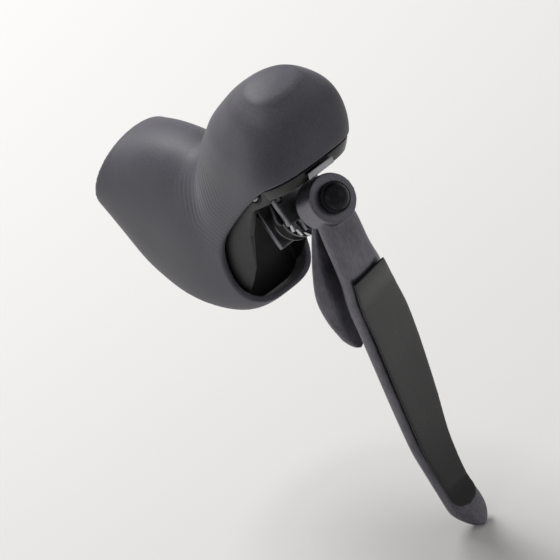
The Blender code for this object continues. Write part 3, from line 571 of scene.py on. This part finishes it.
def makePorts():
    profile = [(2.9, 84.6), (2.9, 76.4), (2.5, 76.0), (1.6, 76.0), (1.6, 84.6)]
    nut = turned("hoseNut", profile, "Y", (6, 0, -24.5), lipFrame, blackSteel)
    combine(nut, "UNION", rod("hex", 3.5, 84.4, 86.8, "Y", (6, 0, -24.5), lipFrame, sides=6))
    combine(nut, "DIFFERENCE", rod("passage", 1.6, 70, 95, "Y", (6, 0, -24.5), lipFrame))
    finishPiece(roundEdges(nut, 0.2), "bracket", "plated_steel", "hose_nut")
    profile = [(2.6, 6.0), (2.9, 5.7), (2.9, -4.7), (2.6, -5.0), (1.0, -5.0), (1.0, 0.0), (2.3, 0.4),
               (2.3, 5.7), (2.45, 6.0)]
    stop = turned("cableStop", profile, "Y", (-6, 81.0, -24.5), lipFrame, filledNylon)
    finishPiece(stop, "bracket", "black_nylon", "cable_stop")


makeClamp()
makePorts()


# master cylinder

cylinderValues = {"sleeve": 6.6, "bore": 5.2, "top": 17.5, "low": -1.5, "piston": 4.9, "seals": (7.5, 3.5)}


def makeCylinder():
    v = cylinderValues
    r, b, top, low = v["sleeve"], v["bore"], v["top"], v["low"]
    profile = [(b + 0.3, top), (r - 0.3, top), (r, top - 0.3), (r, low + 0.3), (r - 0.3, low),
               (b + 0.3, low), (b, low + 0.3), (b, top - 0.3)]
    sleeve = turned("cylinderSleeve", profile, "Z", (0, 0, 0), cylinderFrame, castAluminium)
    finishPiece(sleeve, "bracket", "plated_steel", "cylinder_sleeve")
    profile = [(0, 21.8), (2.2, 21.8), (2.6, 21.3), (2.6, 20.3), (2.4, 20.1), (1.2, 20.1), (1.2, 18.5),
               (1.0, 18.3), (0, 18.3)]
    bleed = turned("bleedScrew", profile, "Z", (0, 0, 0), cylinderFrame, blackSteel)
    combine(bleed, "DIFFERENCE", rod("socket", 1.1, 20.9, 26, "Z", (0, 0, 0), cylinderFrame, sides=6))
    finishPiece(smoothShade(bleed), "bracket", "plated_steel", "bleed_screw")
    p = v["piston"]
    profile = [(0, 9.6), (p - 0.4, 9.6), (p, 9.2)]
    for middle in v["seals"]:
        profile += [(p, middle + 0.9), (3.6, middle + 0.9), (3.6, middle - 0.9), (p, middle - 0.9)]
    profile += [(p, 1.8), (p - 0.3, 1.5), (2.0, 1.5), (0, 1.6)]
    finishPiece(turned("pistonBody", profile, "Z", (0, 0, 0), cylinderFrame, castAluminium), "piston",
                "bare_aluminium", "piston")
    for name, node, middle in (("sealPrimary", "primary_seal", 7.5),
                               ("sealSecondary", "secondary_seal", 3.5)):
        profile = [(p, middle + 0.4), (p, middle - 0.4), (4.5, middle - 0.6), (3.9, middle - 0.6),
                   (3.9, middle + 0.6), (4.3, middle + 0.6), (4.6, middle + 0.2), (4.75, middle + 0.6)]
        seal = turned(name, profile, "Z", (0, 0, 0), cylinderFrame, pressedNitrile)
        finishPiece(seal, "piston", "hood_rubber", node)
    profile = [(0, 1.2), (0.9, 1.0), (1.4, 0.6), (1.6, 0.2), (1.6, -4.2), (1.9, -4.6), (2.6, -5.0),
               (2.6, -5.8), (2.3, -6.1), (0, -6.1)]
    rodPiece = turned("pushRod", profile, "Z", (0, 0, 0), cylinderFrame, zincSteel)
    finishPiece(rodPiece, "piston", "plated_steel", "push_rod")


reservoirValues = {"screwY": 9.5, "screwHeights": (1.4, 10.0), "lidFace": -10.4}


def makeReservoir():
    y, face = reservoirValues["screwY"], reservoirValues["lidFace"]
    lid = block("reservoirLid", (face, 5.6, 0.0), (face + 1.2, 15.0, 11.4), lipFrame, filledNylon)
    combine(lid, "DIFFERENCE", *(rod("hole", 0.95, -20, -8, "X", (0, y, height), lipFrame)
                                 for height in reservoirValues["screwHeights"]))
    finishPiece(roundEdges(lid, 0.3), "bracket", "black_nylon", "reservoir_lid")
    cup = block("reservoirDiaphragm", (-8.8, 6.6, 3.1), (9.0, 13.8, 8.5), lipFrame, pressedNitrile)
    combine(cup, "DIFFERENCE", block("hollow", (-20, 7.5, 4.0), (8.1, 12.9, 7.6), lipFrame))
    finishPiece(roundEdges(cup, 0.25), "bracket", "hood_rubber", "reservoir_diaphragm")
    profile = [(0, -1.0), (1.1, -1.0), (1.4, -0.7), (1.4, -0.3), (0.65, -0.3), (0.65, 4.1), (0.4, 4.4),
               (0, 4.4)]
    for node, height in zip(("lid_screw_lower", "lid_screw_upper"), reservoirValues["screwHeights"]):
        screw = turned("lidScrew", profile[::-1], "X", (face, y, height), lipFrame, blackSteel)
        combine(screw, "DIFFERENCE", rod("socket", 0.6, face - 2, face - 0.5, "X", (0, y, height),
                                         lipFrame, sides=6))
        finishPiece(smoothShade(screw), "bracket", "plated_steel", node)


makeCylinder()
makeReservoir()
print("clamp, ports and hydraulics made")


# brake pivot, yoke and shift axle

yokeValues = {"voxel": 0.3, "pawlX": 7.2, "pawlT": 8.3}


def makeBrakeAxle():
    profile = [(0, 14.5), (2.1, 14.5), (2.5, 14.1), (2.5, -14.1), (2.1, -14.5), (0, -14.5)]
    axle = turned("brakeAxle", profile, "X", (0, 0, 0), brakeFrame, zincSteel)
    finishPiece(axle, "bracket", "plated_steel", "brake_axle")
    for name, node, start in (("clipInner", "axle_clip_inner", -14.6),
                              ("clipOuter", "axle_clip_outer", 13.8)):
        clip = rod(name, 3.9, start, start + 0.8, "X", (0, 0, 0), brakeFrame, springWire)
        combine(clip, "DIFFERENCE", rod("hole", 2.8, start - 2, start + 2, "X", (0, 0, 0), brakeFrame),
                block("gap", (start - 2, -6, -1.2), (start + 2, 0, 1.2), brakeFrame))
        finishPiece(roundEdges(clip, 0.1, 2), "bracket", "plated_steel", node)
    profile = [(4.4, 10.9), (4.6, 10.7), (4.6, 9.8), (4.4, 9.6), (2.8, 9.6), (2.8, 10.9)]
    washer = turned("pivotWasher", profile, "X", (0, 0, 0), brakeFrame, turnedAcetal)
    finishPiece(washer, "bracket", "black_nylon", "pivot_washer")


def makeYoke():
    v = yokeValues
    yoke = rod("leverYoke", 5.2, -6.4, 9.2, "X", (0, 0, 0), brakeFrame, castAluminium)
    combine(yoke, "UNION",
            block("front", (-9, 18, -0.6), (9, 20.6, 10.0), shiftFrame),
            block("foot", (-4.8, 18.1, -4.8), (4.8, 20.5, 0.5), shiftFrame),
            block("neck", (-6.2, 18.1, 9.0), (6.2, 20.5, 12.9), shiftFrame),
            block("bridge", (-4.8, 18.2, 10.4), (4.8, 37.8, 12.8), shiftFrame),
            block("rear", (-7.5, 35.6, -6.5), (7.5, 38, 12.6), shiftFrame),
            block("arm", (-3, 2, -3.9), (3, 12.9, -0.6), brakeFrame),
            rod("tip", 2.4, -3, 3, "X", (0, 12.9, -1.3), brakeFrame))
    soften(yoke, v["voxel"], 6)
    holes = [rod("axleHole", 2.8, -30, 30, "X", (0, 0, 0), brakeFrame),
             rod("shiftHole", 2.5, 10, 50, "Y", (0, 0, 0), shiftFrame)]
    holes += [rod("pinHole", 1.2, 15, 25, "Y", (side * v["pawlX"], 0, v["pawlT"]), shiftFrame)
              for side in (-1, 1)]
    combine(yoke, "DIFFERENCE", *holes)
    smoothShade(yoke, 50)
    finishPiece(yoke, "yoke", "bare_aluminium", "lever_yoke")
    for name, node, side in (("windingPawlPin", "winding_pawl_pin", 1),
                             ("holdingPawlPin", "holding_pawl_pin", -1)):
        profile = [(0, 23.8), (0.7, 23.8), (0.9, 23.6), (0.9, 18.4), (0.7, 18.2), (0, 18.2)]
        pin = turned(name, profile, "Y", (side * v["pawlX"], 0, v["pawlT"]), shiftFrame, zincSteel)
        finishPiece(pin, "yoke", "plated_steel", node)


def makeShiftAxle():
    dome = [(0, 4.9), (1.1, 4.8), (2.3, 4.5), (3.3, 3.95), (4.0, 3.3), (4.3, 2.9), (4.35, 2.5),
            (4.75, 2.45), (5.1, 2.2), (5.2, 1.9), (5.2, 0.5), (5.0, gap), (2.2, gap), (2.2, -40.6),
            (1.8, -41.0), (0, -41.0)]
    axle = turned("shiftAxle", dome, "Y", (0, 0, 0), shiftFrame @ Matrix.Rotation(math.pi, 4, "Z"),
                  blackSteel)
    finishPiece(axle, "yoke", "plated_steel", "shift_axle")
    nut = rod("shiftAxleNut", 4.2, 38.4, 40.6, "Y", (0, 0, 0), shiftFrame, zincSteel, sides=6)
    combine(nut, "DIFFERENCE", rod("hole", 2.5, 37, 42, "Y", (0, 0, 0), shiftFrame))
    finishPiece(roundEdges(nut, 0.25), "yoke", "plated_steel", "shift_axle_nut")


makeBrakeAxle()
makeYoke()
makeShiftAxle()


# blade, face and paddle

bladeValues = {
    "voxel": 0.4,
    "points": 64,
    "faceDepth": 0.9,
    # height, inner edge, outer edge, middle of the depth, depth, turn of the front towards the outer side
    "stations": [
        (-14.0, -6.5, 6.5, -0.6, 7.0, 0.0), (-24.0, -6.8, 7.8, -1.7, 6.2, 2.0),
        (-34.0, -6.4, 9.0, -2.2, 6.2, 6.0), (-43.0, -6.0, 11.5, -1.8, 6.2, 10.0),
        (-54.0, -5.2, 14.8, 0.8, 6.2, 13.0), (-68.0, -3.0, 18.0, 2.6, 6.0, 14.0),
        (-84.0, -0.8, 19.3, 3.7, 5.8, 13.0), (-104.0, 1.6, 19.2, 3.9, 5.6, 10.0),
        (-122.0, 3.8, 18.2, 3.3, 5.6, 6.0), (-137.0, 6.0, 18.2, 0.6, 5.8, 1.0),
        (-147.0, 6.6, 19.4, -3.6, 6.4, 0.0), (-153.5, 9.0, 18.6, -7.4, 5.6, 0.0)],
}
paddleValues = {
    "voxel": 0.32,
    "stations": [
        (-19.5, -4.0, 4.0, 5.3, 2.4, 0.0), (-31.0, -6.5, 3.0, 6.3, 2.8, -4.0),
        (-41.0, -9.4, 2.0, 6.2, 3.0, -6.0), (-50.0, -10.6, 1.5, 6.4, 3.2, -6.0),
        (-60.0, -8.9, 2.0, 7.0, 3.2, -2.0), (-70.0, -5.2, 3.5, 8.4, 3.0, 2.0),
        (-77.0, -1.5, 3.0, 9.3, 2.4, 2.0)],
}


def leverRings(stations, count, top, bottom, inset=0.0, shift=0.0, depth=None, power=3.0, tipRound=0.0):
    heights = [row[0] for row in stations]
    rings = []
    for step in range(count):
        height = top + (bottom - top) * step / (count - 1)
        i = max(k for k in range(len(heights) - 1) if heights[k] >= height or k == 0)
        t = i + (height - heights[i]) / (heights[i + 1] - heights[i])
        own, inner, outer, middle, ownDepth, turn = splineAt(stations, min(max(t, 0), len(stations) - 1))
        spin = Matrix.Rotation(math.radians(turn), 2)
        centre = Vector(((inner + outer) / 2, middle)) + spin @ Vector((0, shift))
        half = (outer - inner) / 2 - inset
        if tipRound:
            left = max(height - bottom, 0.0)
            if left < tipRound:
                half *= max(0.12, math.sqrt(max(1 - (1 - left / tipRound) ** 2, 0.0)) ** 0.8)
        thickness = ownDepth if depth is None else depth
        ring = []
        for a, b in roundedSquare(power, bladeValues["points"]):
            point = centre + spin @ Vector((a * half, b * thickness / 2))
            ring.append((point.x, point.y, height))
        rings.append(ring)
    return rings


def makeBlade():
    v = bladeValues
    stations = v["stations"]
    blade = rod("brakeBlade", 8.2, 0, 11, "Y", (0, 0, 0), shiftFrame, anodisedAluminium)
    combine(blade, "UNION",
            loft("arm", leverRings(stations, 150, -14, -153.5, inset=0.06, tipRound=6.5), lipFrame))
    combine(blade, "DIFFERENCE",
            loft("hollow", leverRings(stations, 80, -47, -138, inset=2.0, shift=2.6), lipFrame))
    soften(blade, v["voxel"], 5)
    combine(blade, "DIFFERENCE", rod("bushSeat", 3.9, -2, 13, "Y", (0, 0, 0), shiftFrame),
            rod("springSeat", 5.8, 4, 13, "Y", (0, 0, 0), shiftFrame))
    smoothShade(blade, 50)
    finishPiece(blade, "blade", "satin_grey_aluminium", "brake_blade")
    offset = -(6.2 / 2 + v["faceDepth"] / 2 + gap)
    rings = leverRings(stations, 130, -42, -145, inset=0.9, shift=offset, depth=v["faceDepth"], power=5.0,
                       tipRound=5.0)
    face = loft("bladeFace", rings, lipFrame, polishedAbs)
    soften(face, 0.22, 4)
    finishPiece(face, "blade", "black_gloss_plastic", "blade_face")
    profile = [(3.6, 4.9), (3.6, -4.9), (3.3, -5.2), (2.7, -5.2), (2.5, -5.0), (2.5, 5.0), (2.7, 5.2),
               (3.3, 5.2)]
    bush = turned("bladeBush", profile, "Y", (0, 5.5, 0), shiftFrame, sinteredBronze)
    finishPiece(bush, "blade", "bronze_bush", "blade_bush")


def makePaddle():
    v = paddleValues
    paddle = rod("releasePaddle", 6.4, 11.5, 14.9, "Y", (0, 0, 0), shiftFrame, anodisedAluminium)
    combine(paddle, "UNION", loft("arm", leverRings(v["stations"], 70, -19.5, -77, tipRound=4.0), lipFrame))
    soften(paddle, v["voxel"], 5)
    combine(paddle, "DIFFERENCE", rod("hole", 2.5, 9, 17, "Y", (0, 0, 0), shiftFrame))
    smoothShade(paddle, 50)
    finishPiece(paddle, "paddle", "satin_grey_aluminium", "release_paddle")


makeBlade()
makePaddle()
print("yoke, blade and paddle made")


# shift mechanism

spoolValues = {
    "radius": 9.0,
    "teeth": 16,
    "tooth": ((7.9, 0.0), (7.75, 0.04), (6.9, 0.08), (6.93, 0.25), (7.1, 0.45), (7.45, 0.72)),    # and share
}


def makeSpool():
    r = spoolValues["radius"] - 1.4
    profile = [(r - 0.2, 7.6), (r, 7.4), (r, 6.4), (5.9, 5.5), (5.6, 5.1), (5.6, 2.9), (5.9, 2.5),
               (r, 1.6), (r, 0.4), (r - 0.2, 0.2), (3.4, 0.2), (3.4, -2.6), (3.2, -2.8), (2.5, -2.8),
               (2.5, 7.6)]
    spool = turned("cableSpool", profile, "Y", (0, 24.0, 0), shiftFrame, turnedAcetal)
    combine(spool, "DIFFERENCE", rod("cableSeat", 1.6, 25.8, 30.2, "Y", (6.9, 0, 0), shiftFrame))
    finishPiece(smoothShade(spool), "spool", "black_nylon", "cable_spool")
    outline = []
    for tooth in range(spoolValues["teeth"]):
        step = 2 * math.pi / spoolValues["teeth"]
        for radius, share in spoolValues["tooth"]:
            angle = (tooth + share) * step
            outline.append((radius * math.cos(angle), radius * math.sin(angle)))
    ring = slab("ratchetRing", outline, "Y", 21.4, 23.6, shiftFrame, zincSteel)
    combine(ring, "DIFFERENCE", rod("bore", 3.7, 20, 25, "Y", (0, 0, 0), shiftFrame))
    finishPiece(roundEdges(ring, 0.08, 2), "spool", "plated_steel", "ratchet_ring")


def makePawl(name, body, side):
    outline = [(side * x, z) for x, z in ((5.6, 9.7), (8.8, 9.8), (9.3, 6.0), (10.3, 2.6), (9.6, 0.6),
                                          (8.6, 1.4), (8.5, 4.4), (6.0, 6.9))]
    pawl = slab(name, cornersRounded(outline, 1), "Y", 21.5, 23.4, shiftFrame, blackSteel)
    combine(pawl, "DIFFERENCE", rod("hole", 1.2, 20, 25, "Y", (side * 7.2, 0, 8.3), shiftFrame))
    finishPiece(roundEdges(pawl, 0.12, 2), body, "plated_steel", body)


makeSpool()
makePawl("windingPawl", "winding_pawl", 1)
makePawl("holdingPawl", "holding_pawl", -1)


# springs

springs = {    # body, node, coil radius, wire, turns, length, axis, start, frame
    "springPiston": ("piston", "piston_spring", 3.4, 0.7, 3, 6.4, "Z", (0, 0, 10.5), cylinderFrame),
    "springLever": ("yoke", "lever_return_spring", 4.4, 0.9, 2.5, 2.9, "X", (-10.5, 0, 0), brakeFrame),
    "springBlade": ("blade", "blade_return_spring", 4.75, 0.8, 4, 4.6, "Y", (0, 4.9, 0), shiftFrame),
    "springPaddle": ("paddle", "paddle_return_spring", 3.4, 0.7, 1.5, 1.5, "Y", (0, 15.7, 0), shiftFrame),
    "springSpool": ("spool", "spool_spring", 4.6, 0.9, 2, 2.2, "Y", (0, 32.5, 0), shiftFrame),
}


def makeSpring(name, body, node, radius, wire, turns, length, axis, at, place):
    curve = bpy.data.curves.new(name, "CURVE")
    curve.dimensions = "3D"
    count = int(turns * 40)
    spline = curve.splines.new("POLY")
    spline.points.add(count)
    for i, point in enumerate(spline.points):
        turn = 2 * math.pi * turns * i / count
        share = i / count
        rise = share - 0.25 * math.sin(2 * math.pi * share) / math.pi    # closed end turns, open middle
        point.co = (radius * math.cos(turn) * mm, radius * math.sin(turn) * mm, length * rise * mm, 1.0)
    curve.bevel_depth, curve.bevel_resolution, curve.use_fill_caps = wire / 2 * mm, 4, True
    obj = bpy.data.objects.new(name, curve)
    bpy.context.scene.collection.objects.link(obj)
    obj.matrix_world = place @ Matrix.Translation(Vector(at) * mm) @ turnTo[axis]
    curve.materials.append(springWire)
    finishPiece(obj, body, "plated_steel", node)


for springName, springFacts in springs.items():
    makeSpring(springName, *springFacts)
print("mechanism and springs made")


# floor, lights and camera

stageValues = {"floor": "#dddcda", "keyWatts": 16.0, "fillWatts": 1.0, "rimWatts": 0.5, "world": 0.32}


def makeStage():
    low = cadBox[0][2] - 0.8 * mm    # the paper lies just under the blade's tip
    bm = bmesh.new()
    bmesh.ops.create_grid(bm, x_segments=1, y_segments=1, size=6.0)
    floor = addObject("studioFloor", bm, Matrix.Translation((0, 0, low)))
    paper = bpy.data.materials.new("paleSeamlessPaper")
    paper.use_nodes = True
    shader = paper.node_tree.nodes["Principled BSDF"]
    shader.inputs["Base Color"].default_value = hexColour(stageValues["floor"])
    shader.inputs["Roughness"].default_value = 0.9
    floor.data.materials.append(paper)


def addSoftbox(name, place, target, size, watts):
    light = bpy.data.lights.new(name, "AREA")
    light.shape, light.size, light.energy = "DISK", size, watts
    obj = bpy.data.objects.new(name, light)
    bpy.context.scene.collection.objects.link(obj)
    obj.location = place
    obj.rotation_euler = (Vector(target) - Vector(place)).to_track_quat("-Z", "Y").to_euler()


def makeLights():
    v = stageValues
    middle = (0.0, -0.02, 0.0)
    addSoftbox("keySoftbox", (0.05, 0.75, 0.95), middle, 0.7, v["keyWatts"])
    addSoftbox("fillSoftbox", (0.9, -0.9, 0.5), middle, 0.9, v["fillWatts"])
    addSoftbox("rimSoftbox", (-0.9, -0.3, 0.7), middle, 0.6, v["rimWatts"])
    world = bpy.data.worlds.new("studioWorld")
    world.use_nodes = True
    world.node_tree.nodes["Background"].inputs[0].default_value = (1, 1, 1, 1)
    world.node_tree.nodes["Background"].inputs[1].default_value = v["world"]
    bpy.context.scene.world = world
    bpy.context.scene.view_settings.view_transform = "Standard"


cameraValues = {"place": (-0.824, -1.4023, 1.1148), "right": (0.765, -0.559, -0.319), "lens": 390.0,
                "target": (0.002, -0.030, -0.010)}


def makeCamera():
    v = cameraValues
    data = bpy.data.cameras.new("productCamera")
    data.lens, data.sensor_width, data.clip_start, data.clip_end = v["lens"], 36.0, 0.05, 20.0
    obj = bpy.data.objects.new("productCamera", data)
    bpy.context.scene.collection.objects.link(obj)
    place = Vector(v["place"])
    forward = (Vector(v["target"]) - place).normalized()
    right = Vector(v["right"])
    right = (right - forward * right.dot(forward)).normalized()
    up = right.cross(forward)
    obj.matrix_world = Matrix.Translation(place) @ Matrix((right, up, -forward)).transposed().to_4x4()
    bpy.context.scene.camera = obj


makeStage()
makeLights()
makeCamera()
print("stage ready")

bpy.context.view_layer.update()    # every piece is updated to where it now stands
